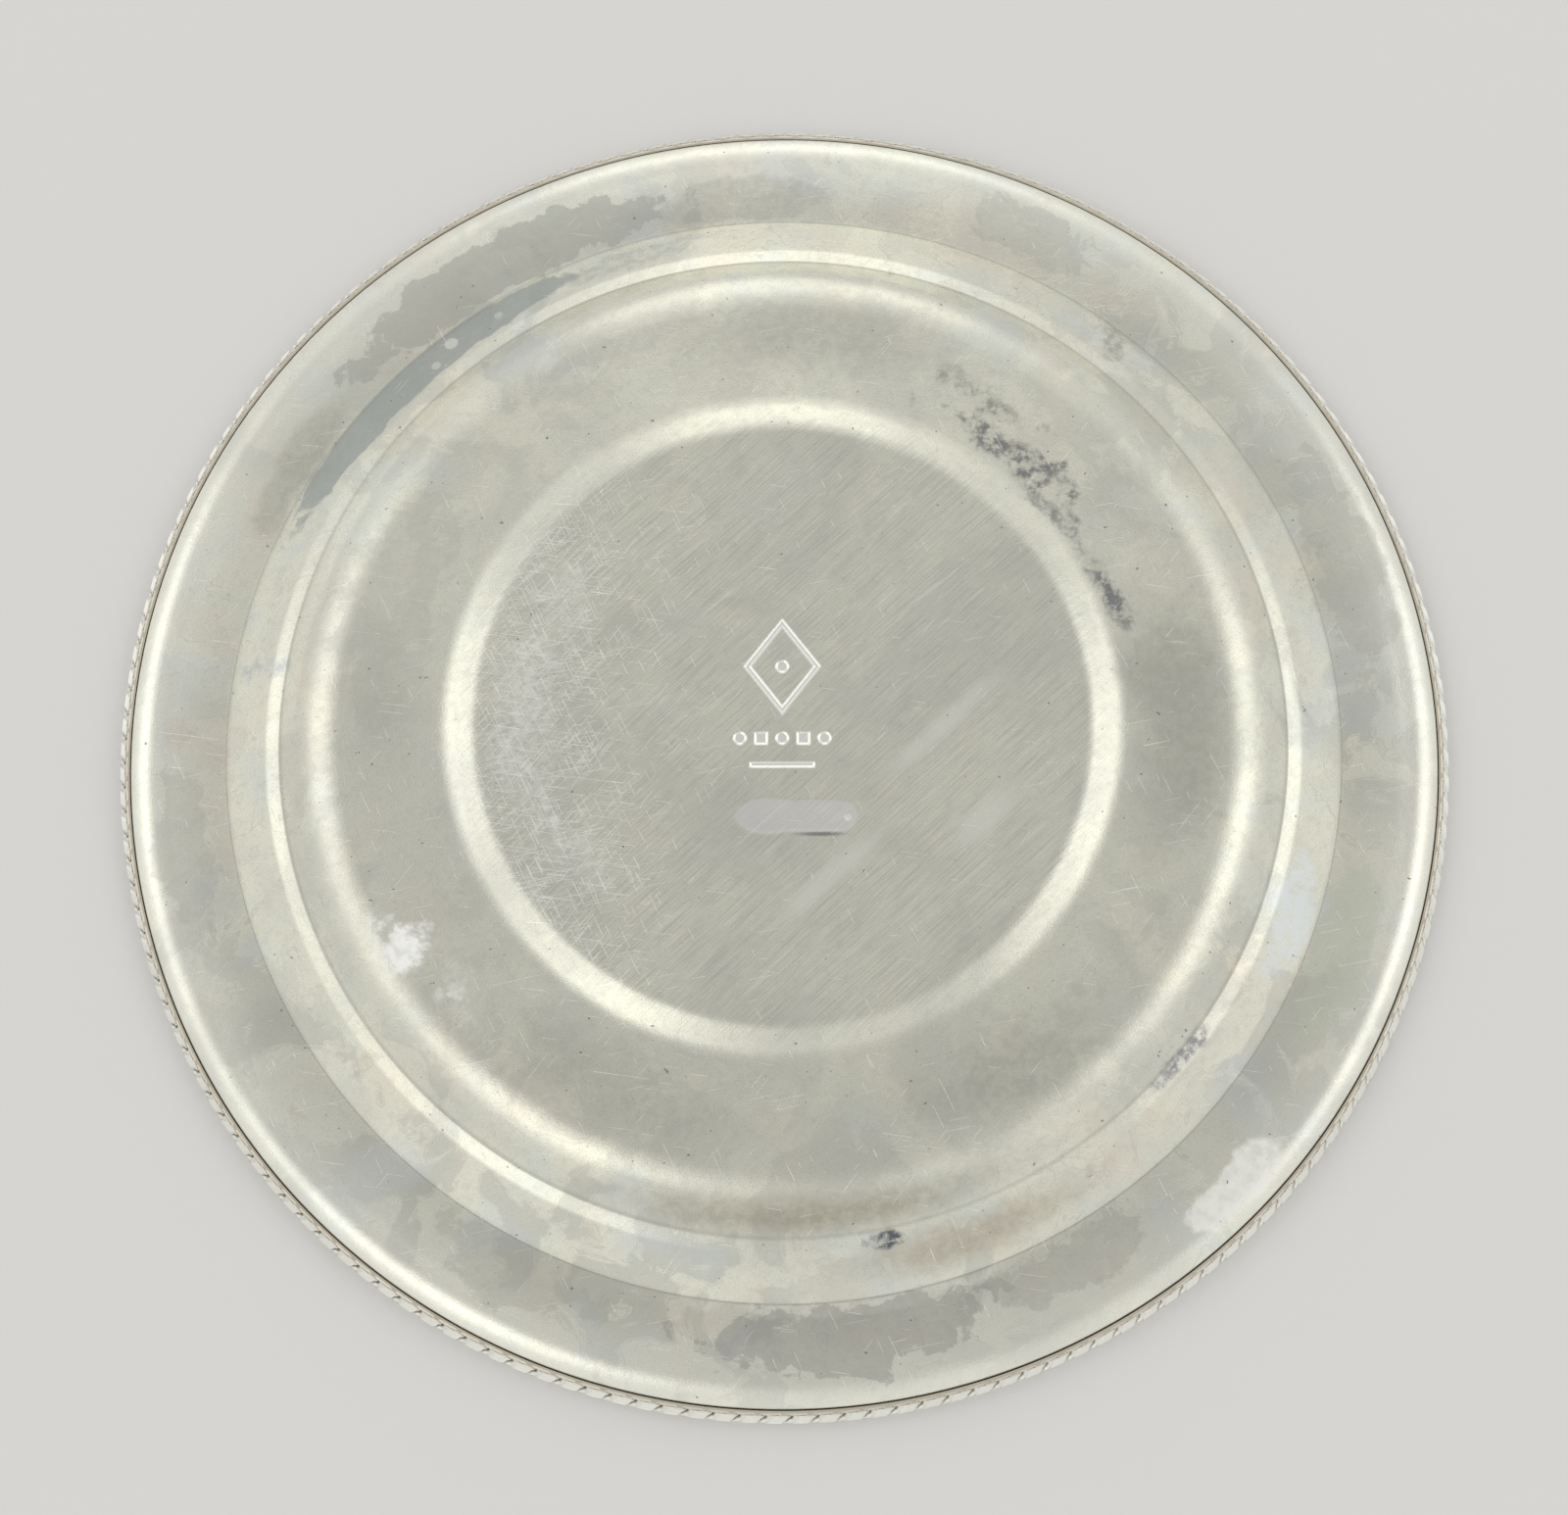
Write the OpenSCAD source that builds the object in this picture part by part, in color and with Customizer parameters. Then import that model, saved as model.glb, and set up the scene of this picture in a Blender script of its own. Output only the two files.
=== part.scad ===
// Round salver: a dish spun from sheet metal, a twisted rope border laid over
// its turned-up edge, and the solder bead that joins the two.
// It is drawn as it stands in use, face up: +Z is up, the flat foot of the dish
// rests on z = 0, and the dish's axis passes through the origin.

/* [Dish] */
// Radius of the outer edge of the dish, under the rope border
edge_r = 74.5; // [73:0.1:76]
// Thickness of the spun sheet
sheet_t = 1.2; // [0.8:0.1:1.3]
// Radius of the flat disc that the salver stands on, where its band starts
foot_r = 34.2; // [28:0.1:35]
// Height of the flange's underside at its inner edge
flange_z = 11; // [10:0.1:11]
// Height of the top of the turned-up edge
edge_top_z = 13.5; // [13.5:0.1:15.5]

/* [Underside steps] */
// Width of the bevelled band round the foot
foot_band_w = 3.3; // [2:0.1:5]
// Height of the bevelled band round the foot
foot_band_h = 1.45; // [0.6:0.05:2]
// Radius where the shallow ring ends and the shoulder starts to rise
shoulder_r = 52.6; // [50:0.1:54]
// Height of the shallow ring at its outer side
shoulder_z = 2.75; // [2.3:0.05:3.2]
// Radius of the crease line between the shoulder and the outer band
crease_r = 56.7; // [56:0.1:58.5]
// Height of the crease line
crease_z = 6.9; // [6.2:0.1:7.6]
// Radius of the sharp step at the inner edge of the flange
flange_r = 63.2; // [62:0.1:66]
// Height of the small lip turned on the step at the flange
lip_h = 0.25; // [0.1:0.05:0.4]
// Width of the flange's outer part that curls up to the edge
curl_w = 1.8; // [1.6:0.1:2.1]

/* [Rope border] */
// Number of leaf units round the border
units = 165; // [60:1:165]
// Height of a leaf unit above the valleys between units
leaf_h = 0.45; // [0.1:0.05:0.6]
// Width of the border's cross-section
border_w = 4; // [3:0.1:5]
// Height of the border's cross-section above the dish's edge
border_h = 2; // [1.5:0.1:2.5]
// How far the border laps down outside the dish's edge
lap_h = 0.7; // [0.4:0.05:1]

/* [Stamped mark] */
// Depth of the stamped mark under the foot
mark_depth = 0.15; // [0.05:0.05:0.4]
// Size of one punch in the mark
punch_w = 1.3; // [0.8:0.1:1.6]

/* [Hidden] */

round_fn = 180;      // facets of a full turn where a true circle is meant
arc_steps = 5;       // straight steps in each rounded corner of an outline
seam_gap = 0.06;     // open seam between the dish's edge and the border's lap
touch = 0.01;        // hairline clearance where two pieces meet
rings_per_unit = 3;  // sections of the border in each leaf unit
lip_w = 0.3;         // width of the small lip turned on the step at the flange
shoulder_round = 9;  // rounding of the shoulder
flange_round = 75;   // slight hollow across the flange
turn_w = 1.6;        // how far outside the crease the outer band turns steeper
turn_h = 0.7;        // how far above the crease it turns steeper
turn_round = 3;      // rounding where it turns steeper
curl_round = 4.9;    // rounding where the flange starts to curl up
curl_rise = 1;       // height of the curl before it turns upright
edge_round = 1.3;    // rounding where the curl turns upright
border_r = edge_r + 1.5;
bead_w = 1.2;        // width of the solder bead, inwards from the turned-up edge

foot_band_r = foot_r + foot_band_w;
foot_round = 1.2 * foot_band_w;       // rounding where the foot disc runs into its band
foot_band_round = 1.8 * foot_band_w;  // rounding where that band runs into the shallow ring
curl_r = edge_r - curl_w;
curl_z = flange_z + 0.6;
flange_mid_r = (flange_r + curl_r) / 2;
flange_mid_z = flange_z + 0.12;

// The underside from the axis outwards: [radius, height, radius of the rounding]
underside = [
    [0, 0, 0],
    [foot_r, 0, foot_round],
    [foot_band_r, foot_band_h, foot_band_round],
    [shoulder_r, shoulder_z, shoulder_round],
    [crease_r, crease_z, 0.5],
    [crease_r + turn_w, crease_z + turn_h, turn_round],
    [flange_r - lip_w, flange_z - lip_h, 0],
    [flange_r, flange_z, 0],
    [flange_mid_r, flange_mid_z, flange_round],
    [curl_r, curl_z, curl_round],
    [edge_r, curl_z + curl_rise, edge_round],
    [edge_r, edge_top_z, 0]
];

// The same run of surfaces without the lip and the turn: the face side follows it
sheet_line = [
    [0, 0, 0],
    [foot_r, 0, foot_round],
    [foot_band_r, foot_band_h, foot_band_round],
    [shoulder_r, shoulder_z, shoulder_round],
    [crease_r, crease_z, 2],
    [flange_r, flange_z, 2],
    [flange_mid_r, flange_mid_z, flange_round],
    [curl_r, curl_z, curl_round],
    [edge_r, curl_z + curl_rise, edge_round],
    [edge_r, edge_top_z, 0]
];

function unit2(v) = v / norm(v);
function left_of(v) = [-v.y, v.x];
function point2(p) = [p.x, p.y];
function cross2(a, b) = a.x * b.y - a.y * b.x;

// Where the lines p + s * u and q + t * v meet
function meet(p, u, q, v) = p + u * cross2(q - p, v) / cross2(u, v);

// Corner b of the line a-b-c, moved a distance d to the left of the line
function moved_corner(a, b, c, d) =
    let (
        u = unit2(b - a),
        v = unit2(c - b)
    )
    meet(b + d * left_of(u), u, b + d * left_of(v), v);

// Radius of a rounding after its line moves a distance d to the left
function moved_rounding(a, b, c, rounding, d) =
    max(0.2, cross2(b - a, c - b) > 0 ? rounding - d : rounding + d);

// A whole outline moved a distance d to the left of its own direction
function moved_line(line, d) = [
    for (i = [0:len(line) - 1])
        let (
            b = point2(line[i]),
            a = i == 0 ? b - [1, 0] : point2(line[i - 1]),
            c = i == len(line) - 1 ? b + [0, 1] : point2(line[i + 1]),
            at_end = i == 0 || i == len(line) - 1,
            p = at_end ? b + d * left_of(i == 0 ? [1, 0] : [0, 1]) : moved_corner(a, b, c, d)
        )
        [p.x, p.y, at_end ? 0 : moved_rounding(a, b, c, line[i].z, d)]
];

// The arc that rounds corner b of the line a-b-c
function corner_arc(a, b, c, rounding) =
    let (
        u = unit2(a - b),
        v = unit2(c - b),
        half = acos(u * v) / 2,
        centre = b + unit2(u + v) * rounding / sin(half),
        start = b + u * rounding / tan(half) - centre,
        turn = sign(cross2(b - a, c - b)) * (180 - 2 * half)
    )
    [
        for (k = [0:arc_steps])
            let (w = turn * k / arc_steps)
            centre + [start.x * cos(w) - start.y * sin(w), start.x * sin(w) + start.y * cos(w)]
    ];

// An outline with its corners rounded
function rounded(line) = [
    for (i = [0:len(line) - 1])
        each line[i].z == 0
            ? [point2(line[i])]
            : corner_arc(point2(line[i - 1]), point2(line[i]), point2(line[i + 1]), line[i].z)
];

function reversed(list) = [for (i = [len(list) - 1:-1:0]) list[i]];

module dish() {
    color([0.78, 0.77, 0.73])
    difference() {
        rotate_extrude($fn = round_fn)
            polygon(concat(rounded(underside), reversed(rounded(moved_line(sheet_line, sheet_t)))));
        stamped_mark();
    }
}

// A plain mark in the centre of the foot: a lozenge outline round a dot, over a row of
// round and square punches and a short bar
module stamped_mark() {
    lozenge_y = 6;
    row_y = -2.2;
    bar_y = -5.2;
    line_w = 0.5;
    translate([0, 0, mark_depth - punch_w])
        linear_extrude(height = punch_w) {
            translate([0, lozenge_y]) {
                difference() {
                    lozenge();
                    scale(0.84) lozenge();
                }
                circle(d = punch_w, $fn = 32);
            }
            for (i = [-2:2])
                translate([i * punch_w * 1.8, row_y])
                    if (i % 2 == 0)
                        circle(d = punch_w, $fn = 32);
                    else
                        square(punch_w, center = true);
            translate([0, bar_y])
                square([7, line_w], center = true);
        }
}

module lozenge() {
    polygon([[-4.2, 0], [0, -5.4], [4.2, 0], [0, 5.4]]);
}

// The border's cross-section, from the dish's edge out, over and in: [radius, height, lift].
// Lift is how much of the leaf height that point takes.
border_base_z = edge_top_z + touch;
border_in_r = border_r - border_w;
crown_r = border_r - border_w / 2;
crown_top_z = border_base_z + border_h;
border_section = [
    [edge_r + seam_gap, border_base_z, 0],
    [edge_r + seam_gap, border_base_z - lap_h, 0],
    [border_r - 0.75, border_base_z - lap_h - 0.1, 0],
    [border_r, border_base_z + 0.15 * border_h, 1],
    [border_r - 0.1, border_base_z + 0.6 * border_h, 1],
    [crown_r + 0.3, crown_top_z, 1],
    [crown_r - 1.2, crown_top_z - 0.3, 1],
    [border_in_r, border_base_z + 0.4 * border_h, 0.6],
    [border_in_r + 0.1, border_base_z, 0]
];
section_centre = [crown_r, border_base_z + 0.4 * border_h];

// Depth of the valley at ring i and section point j, 0 on a leaf and 1 between leaves;
// each step round the section shifts it one ring, which gives the rope its twist
function valley(i, j) = 1 - abs(sin(180 * (i + j) / rings_per_unit));

function border_point(i, j) =
    let (
        p = border_section[j],
        towards = unit2(section_centre - point2(p)),
        q = point2(p) + towards * leaf_h * p.z * valley(i, j),
        angle = 360 * i / (units * rings_per_unit)
    )
    [q.x * cos(angle), q.x * sin(angle), q.y];

module rope_border() {
    ring_count = units * rings_per_unit;
    side_count = len(border_section);
    points = [
        for (i = [0:ring_count - 1])
            for (j = [0:side_count - 1])
                border_point(i, j)
    ];
    faces = [
        for (i = [0:ring_count - 1])
            for (j = [0:side_count - 1])
                let (
                    i2 = (i + 1) % ring_count,
                    j2 = (j + 1) % side_count,
                    a = i * side_count + j,
                    b = i * side_count + j2,
                    c = i2 * side_count + j2,
                    d = i2 * side_count + j
                )
                each [[a, b, c], [a, c, d]]
    ];
    color([0.80, 0.78, 0.70])
        polyhedron(points = points, faces = faces);
}

// Solder fills the corner between the curl of the dish and the underside of the border
module solder_bead() {
    bead_in_r = edge_r - sheet_t - bead_w;
    face_side = rounded(moved_line(sheet_line, sheet_t + touch));
    on_the_curl = [for (p = face_side) if (p.x > bead_in_r) p];
    color([0.45, 0.44, 0.42])
        rotate_extrude($fn = round_fn)
            polygon(concat(on_the_curl, [[bead_in_r, edge_top_z]]));
}

dish();
rope_border();
solder_bead();
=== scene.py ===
"""A round salver with a rope border, seen from underneath in a soft pale studio.

The dish, the border and the solder bead are turned or swept here in fine meshes, in place of the
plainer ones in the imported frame. Sizes are in millimetres unless a comment says otherwise, and
meshes are built in metres.
"""

import math

import bpy
import numpy as np
from mathutils import Matrix, Vector


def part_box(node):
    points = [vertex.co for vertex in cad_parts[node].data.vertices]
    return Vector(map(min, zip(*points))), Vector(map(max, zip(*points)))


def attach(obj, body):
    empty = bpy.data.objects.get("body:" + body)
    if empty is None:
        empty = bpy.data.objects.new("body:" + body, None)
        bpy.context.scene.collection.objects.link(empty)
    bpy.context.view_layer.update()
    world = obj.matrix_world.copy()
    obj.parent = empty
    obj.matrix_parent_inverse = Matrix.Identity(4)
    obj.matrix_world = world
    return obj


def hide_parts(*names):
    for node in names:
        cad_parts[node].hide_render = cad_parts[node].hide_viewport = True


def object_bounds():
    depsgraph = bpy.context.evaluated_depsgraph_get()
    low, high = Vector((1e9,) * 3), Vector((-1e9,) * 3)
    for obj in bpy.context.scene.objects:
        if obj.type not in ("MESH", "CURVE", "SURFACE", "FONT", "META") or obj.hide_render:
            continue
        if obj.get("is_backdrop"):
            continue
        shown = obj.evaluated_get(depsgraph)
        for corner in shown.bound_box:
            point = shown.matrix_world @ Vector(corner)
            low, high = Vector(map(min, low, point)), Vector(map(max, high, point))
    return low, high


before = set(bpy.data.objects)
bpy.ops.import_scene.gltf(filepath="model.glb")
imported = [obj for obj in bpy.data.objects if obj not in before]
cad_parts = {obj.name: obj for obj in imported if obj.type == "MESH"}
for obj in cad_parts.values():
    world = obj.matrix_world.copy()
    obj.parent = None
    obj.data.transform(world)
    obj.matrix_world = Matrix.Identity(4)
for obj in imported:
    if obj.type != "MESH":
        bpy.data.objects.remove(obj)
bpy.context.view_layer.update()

MM = 0.001


def reach(node):
    """The largest radius of a CAD node."""
    return max(math.hypot(v.co.x, v.co.y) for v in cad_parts[node].data.vertices) / MM


def top(node):
    """The height of a CAD node's highest point."""
    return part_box(node)[1].z / MM


# The dish: its edge comes from the frame, and the rest repeats the CAD model's dimensions
EDGE_R = reach("dish")
EDGE_TOP = top("dish")
SHEET = 1.2
FOOT_R, FOOT_BAND_W, FOOT_BAND_H = 34.2, 3.3, 1.45
FOOT_BAND_R = FOOT_R + FOOT_BAND_W
SHOULDER_R, SHOULDER_Z = 52.6, 2.75
CREASE_R, CREASE_Z = 56.7, 6.9
TURN_W, TURN_H = 1.6, 0.7
FLANGE_R, FLANGE_Z = 63.2, 11.0
LIP_W, LIP_H = 0.3, 0.25
CURL_R, CURL_Z, CURL_RISE = EDGE_R - 1.8, FLANGE_Z + 0.6, 1.0
FLANGE_MID_R, FLANGE_MID_Z = (FLANGE_R + CURL_R) / 2, FLANGE_Z + 0.12
FOOT_ROUND, FOOT_BAND_ROUND = 1.2 * FOOT_BAND_W, 1.8 * FOOT_BAND_W
SHOULDER_ROUND, TURN_ROUND, FLANGE_ROUND, CURL_ROUND = 9, 3, 75, 4.9
EDGE_ROUND = 0.5      # tighter than the frame's, so that the seam beside the border reads thin

# The rope border and the solder bead
CLEARANCE = 0.01
BASE_Z = EDGE_TOP + CLEARANCE
BORDER_R = EDGE_R + 1.5
BORDER_H = 2
LAP_H = 0.7
SEAM_GAP = 0.06
UNITS = 165
LEAF_H = 0.45
BEAD_W = 1.2


# ---------------------------------------------------------------- outlines

def rounded(line, step=0.25):
    """The points of an outline [(radius, height, rounding)], with its corners turned into arcs."""
    points = []
    for i, (x, y, rounding) in enumerate(line):
        corner = Vector((x, y))
        if rounding == 0:
            points.append(corner)
            continue
        before = (Vector(line[i - 1][:2]) - corner).normalized()
        after = (Vector(line[(i + 1) % len(line)][:2]) - corner).normalized()
        half = before.angle(after) / 2
        centre = corner + (before + after).normalized() * rounding / math.sin(half)
        start = corner + before * rounding / math.tan(half) - centre
        turn = math.copysign(math.pi - 2 * half, -before.cross(after))
        steps = max(3, int(abs(turn) * rounding / step))
        for k in range(steps + 1):
            w = turn * k / steps
            points.append(centre + Vector((
                start.x * math.cos(w) - start.y * math.sin(w),
                start.x * math.sin(w) + start.y * math.cos(w))))
    return points


def direction(line, i):
    """The unit direction of an outline from its point i to the next."""
    return (Vector(line[i + 1][:2]) - Vector(line[i][:2])).normalized()


def moved(line, distance):
    """The outline moved to the left of its own direction, so that a sheet keeps its thickness."""
    result = []
    last = len(line) - 1
    for i, (x, y, rounding) in enumerate(line):
        u = direction(line, max(i - 1, 0))
        v = direction(line, min(i, last - 1))
        left = Vector((-u.y, u.x)) + Vector((-v.y, v.x))
        shift = left * distance / (1 + u.dot(v))
        new_rounding = rounding - distance if u.cross(v) > 0 else rounding + distance
        at_end = i in (0, last)
        result.append((x + shift.x, y + shift.y, 0 if at_end else max(0.2, new_rounding)))
    return result


def spaced(points, longest):
    """The same line with no step longer than the one given."""
    result = [points[0]]
    for a, b in zip(points, points[1:]):
        steps = max(1, math.ceil((b - a).length / longest))
        result += [a.lerp(b, k / steps) for k in range(1, steps + 1)]
    return result


# ---------------------------------------------------------------- meshes

def smoothstep(low, high, value):
    """0 at low and 1 at high, whichever is the larger, with a smooth change between."""
    t = np.clip((value - low) / (high - low), 0, 1)
    return t * t * (3 - 2 * t)


def bell(value, centre, width):
    """1 at the centre, falling off on both sides of it."""
    return np.exp(-((value - centre) / width) ** 2)


def full_turn(count):
    """Evenly spaced angles round the axis, in radians."""
    return np.linspace(0, 2 * math.pi, count, endpoint=False)


def round_the_axis(radius, height, angle):
    """A ring of points, in metres, for each row of the radii and heights."""
    x, y, z = np.broadcast_arrays(radius * np.cos(angle), radius * np.sin(angle), height)
    return np.stack([x, y, z], -1).reshape(-1, 3) * MM


def ring_faces(rings, count, closed):
    """Quads between neighbouring rings of count points; if closed, the last joins the first."""
    ring = np.arange(rings if closed else rings - 1)
    i, j = np.meshgrid(ring, np.arange(count), indexing="ij")
    i2, j2 = (i + 1) % rings, (j + 1) % count
    corners = [i2 * count + j, i2 * count + j2, i * count + j2, i * count + j]
    return np.stack(corners, -1).reshape(-1, 4).tolist()


def new_object(name, points, faces, material, sharp_degrees):
    """A smooth mesh object whose edges stay sharp where they turn more than the given angle."""
    mesh = bpy.data.meshes.new(name)
    mesh.from_pydata(points.tolist(), [], faces)
    mesh.shade_smooth()
    mesh.set_sharp_from_angle(angle=math.radians(sharp_degrees))
    mesh.materials.append(material)
    piece = bpy.data.objects.new(name, mesh)
    bpy.context.scene.collection.objects.link(piece)
    return piece


# ---------------------------------------------------------------- the stamped mark

MARK_DEPTH = 0.15
PUNCH = 1.3
PUNCH_PITCH = 1.8 * PUNCH
ROW_Y, LOZENGE_Y, BAR_Y = -2.2, 6.0, -5.2
LOZENGE_W, LOZENGE_H = 4.2, 5.4    # half its width and half its height
BAR_HALF = 3.5
LINE_W = 0.5
# The middle line of the drop beside the mark runs along X at DROP_Y
DROP_FROM, DROP_TO, DROP_Y = -6.4, 2.0, -11.0
DROP_HALF_W = 2.0
DROP_DEPTH = 0.05


def pressed(distance, wall=0.42):
    """1 inside a punched shape, 0 outside, with a sloping wall; distance is negative inside."""
    return 1 - smoothstep(-wall / 2, wall / 2, distance)


def stamped_mark(x, y):
    """How deep the plain mark is pressed at x, y: a lozenge round a dot, a row of punches and a bar."""
    slope = 1 / math.hypot(1 / LOZENGE_W, 1 / LOZENGE_H)
    lozenge = (np.abs(x) / LOZENGE_W + np.abs(y - LOZENGE_Y) / LOZENGE_H - 1) * slope
    depth = pressed(np.abs(lozenge + LINE_W / 2) - LINE_W / 2)
    depth = np.maximum(depth, pressed(np.hypot(x, y - LOZENGE_Y) - PUNCH / 2))
    for i in range(-2, 3):
        across, up = np.abs(x - i * PUNCH_PITCH), np.abs(y - ROW_Y)
        punch = np.maximum(across, up) if i % 2 else np.hypot(across, up)
        depth = np.maximum(depth, pressed(punch - PUNCH / 2))
    bar = np.maximum(np.abs(x) - BAR_HALF, np.abs(y - BAR_Y) - LINE_W / 2)
    return np.maximum(depth, pressed(bar)) * MARK_DEPTH


def pale_drop(x, y):
    """The shallow dent of an old drop beside the mark: round at one end, drawn out at the other."""
    along = np.clip(x, DROP_FROM, DROP_TO)
    half_width = DROP_HALF_W - 0.25 * smoothstep(-3, 2, -along) + 0.06 * np.sin(1.3 * x)
    drawn_out = np.where(x > along, 0.62, 1.0)
    dent = pressed(np.hypot((x - along) * drawn_out, y - DROP_Y) - half_width, 0.6)
    pit = pressed(np.hypot(x - DROP_FROM + 0.8, y - DROP_Y + 0.1) - 0.35, 0.3)
    return (dent + 1.2 * pit) * DROP_DEPTH


# ---------------------------------------------------------------- the dish

UNDERSIDE = [
    (0, 0, 0),
    (FOOT_R, 0, FOOT_ROUND),
    (FOOT_BAND_R, FOOT_BAND_H, FOOT_BAND_ROUND),
    (SHOULDER_R, SHOULDER_Z, SHOULDER_ROUND),
    (CREASE_R, CREASE_Z, 0.5),
    (CREASE_R + TURN_W, CREASE_Z + TURN_H, TURN_ROUND),
    (FLANGE_R - LIP_W, FLANGE_Z - LIP_H, 0.4),
    (FLANGE_R, FLANGE_Z, 0.1),
    (FLANGE_MID_R, FLANGE_MID_Z, FLANGE_ROUND),
    (CURL_R, CURL_Z, CURL_ROUND),
    (EDGE_R, CURL_Z + CURL_RISE, EDGE_ROUND),
    (EDGE_R, EDGE_TOP, 0),
]
# The same run of surfaces without the lip and the turn: the face side follows it
SHEET_LINE = [
    (0, 0, 0),
    (FOOT_R, 0, FOOT_ROUND),
    (FOOT_BAND_R, FOOT_BAND_H, FOOT_BAND_ROUND),
    (SHOULDER_R, SHOULDER_Z, SHOULDER_ROUND),
    (CREASE_R, CREASE_Z, 2),
    (FLANGE_R, FLANGE_Z, 2),
    (FLANGE_MID_R, FLANGE_MID_Z, FLANGE_ROUND),
    (CURL_R, CURL_Z, CURL_ROUND),
    (EDGE_R, CURL_Z + CURL_RISE, EDGE_ROUND),
    (EDGE_R, EDGE_TOP, 0),
]
DISH_SEGMENTS = 720
# The radii within which the mesh is fine enough for the mark and for the drop
MARK_REACH, DROP_REACH = 12.6, 16.0
# The waviness of the thin spun sheet: (waves in a turn, twist for each mm outwards, start, share)
WAVES = ((3, 0.11, 0.0, 1.0), (5, -0.17, 1.3, 0.6), (11, 0.31, 0.7, 0.35))
WAVE_HEIGHT = 0.03


def dish_relief(radius, height, angle):
    """The stamped mark and the drop, pressed upwards, and the slight waviness outside the foot."""
    x, y = radius * np.cos(angle), radius * np.sin(angle)
    under_foot = (height < 0.01) & (radius < DROP_REACH)
    mark = np.where(under_foot, stamped_mark(x, y) + pale_drop(x, y), 0)
    wave = sum(
        share * np.sin(count * angle + twist * radius + start)
        for count, twist, start, share in WAVES)
    free = smoothstep(FOOT_R, FOOT_R + 8, radius) * (1 - smoothstep(EDGE_R - 5, EDGE_R - 3, radius))
    return mark + wave * WAVE_HEIGHT * free


def build_dish(material):
    """The spun sheet: its underside from the axis out to the edge, and its face side back again."""
    centre = spaced([Vector((0, 0)), Vector((MARK_REACH, 0))], 0.09)
    centre += spaced([Vector((MARK_REACH, 0)), Vector((DROP_REACH, 0))], 0.2)[1:]
    under = centre + spaced([Vector((DROP_REACH, 0))] + rounded(UNDERSIDE)[1:], 0.8)[1:]
    face = spaced(rounded(moved(SHEET_LINE, SHEET))[::-1], 1.0)
    outline = under + face
    rings = np.array([p[:] for p in outline[1:-1]])
    radius, height, angle = rings[:, :1], rings[:, 1:], full_turn(DISH_SEGMENTS)
    points = round_the_axis(radius, height + dish_relief(radius, height, angle), angle)
    poles = np.array([[0, 0, outline[0].y], [0, 0, outline[-1].y]]) * MM
    low, high = len(points), len(points) + 1
    last_ring = len(points) - DISH_SEGMENTS
    faces = ring_faces(len(rings), DISH_SEGMENTS, False)
    for j in range(DISH_SEGMENTS):
        j2 = (j + 1) % DISH_SEGMENTS
        faces.append((low, j2, j))
        faces.append((high, last_ring + j, last_ring + j2))
    return new_object("dish_spun", np.vstack([points, poles]), faces, material, sharp_degrees=28)


# ---------------------------------------------------------------- the rope border

TOP_Z = BASE_Z + BORDER_H
BORDER_SECTION = [
    (EDGE_R + SEAM_GAP, BASE_Z, 0.05),
    (EDGE_R + SEAM_GAP, BASE_Z - LAP_H, 0.12),
    (BORDER_R - 0.75, BASE_Z - LAP_H - 0.1, 0.25),
    (BORDER_R, BASE_Z + 0.3, 0.55),
    (BORDER_R - 0.1, BASE_Z + 1.2, 0.6),
    (BORDER_R - 1.7, TOP_Z, 0.9),
    (BORDER_R - 3.2, TOP_Z - 0.3, 0.7),
    (BORDER_R - 4, BASE_Z + 0.8, 0.4),
    (BORDER_R - 3.9, BASE_Z, 0.05),
]
CREST_INSET = 0.15  # how far even the crests lie inside the outer form, in leaf heights
TWIST = 0.24        # leaf units of lean for each millimetre round the section
COLUMNS_PER_UNIT = 18


def border_outline():
    """The section as evenly spaced points, with the length run so far at each."""
    corners = rounded(BORDER_SECTION, 0.12)
    points = spaced(corners + corners[:1], 0.15)[:-1]
    run = np.cumsum([0] + [(b - a).length for a, b in zip(points, points[1:])])
    return np.array([p[:] for p in points]), run


def leaf_inset(phase, run, total):
    """How far the surface lies inside the border's outer form, in leaf heights.

    Phase is the place within one leaf unit, from 0 to 1. Run is the length along the section
    so far, and total is its whole length.
    """
    lean = np.mod(phase - TWIST * run, 1)
    # A leaf starts at a rounded end beside the smooth strip, and runs over to the inner side
    start = 1.10 + 0.34 * np.abs(2 * lean - 0.9) ** 1.5
    on_leaf = smoothstep(start, start + 0.14, run) * (1 - smoothstep(total - 1.5, total - 0.9, run))
    # Across the leaf: a steep edge, a slow fall towards the next leaf, and a small fold on the way
    rise = smoothstep(0.02, 0.13, lean)
    fall = 1 - 0.55 * smoothstep(0.45, 1.0, lean)
    fold = 0.20 * bell(lean, 0.85, 0.05) - 0.22 * bell(lean, 0.75, 0.035)
    # A lower layer shows between the rounded ends
    under_layer = 0.45 * (1 - smoothstep(1.5, 2.0, run))
    inset = 1 - np.clip(np.maximum(on_leaf * (rise * fall + fold), under_layer), 0, 1 - CREST_INSET)
    # A pit lies where one leaf meets the next
    pit = bell(np.abs(lean - 0.5), 0.5, 0.09) * bell(run, 2.0, 0.40)
    return inset + pit


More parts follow.
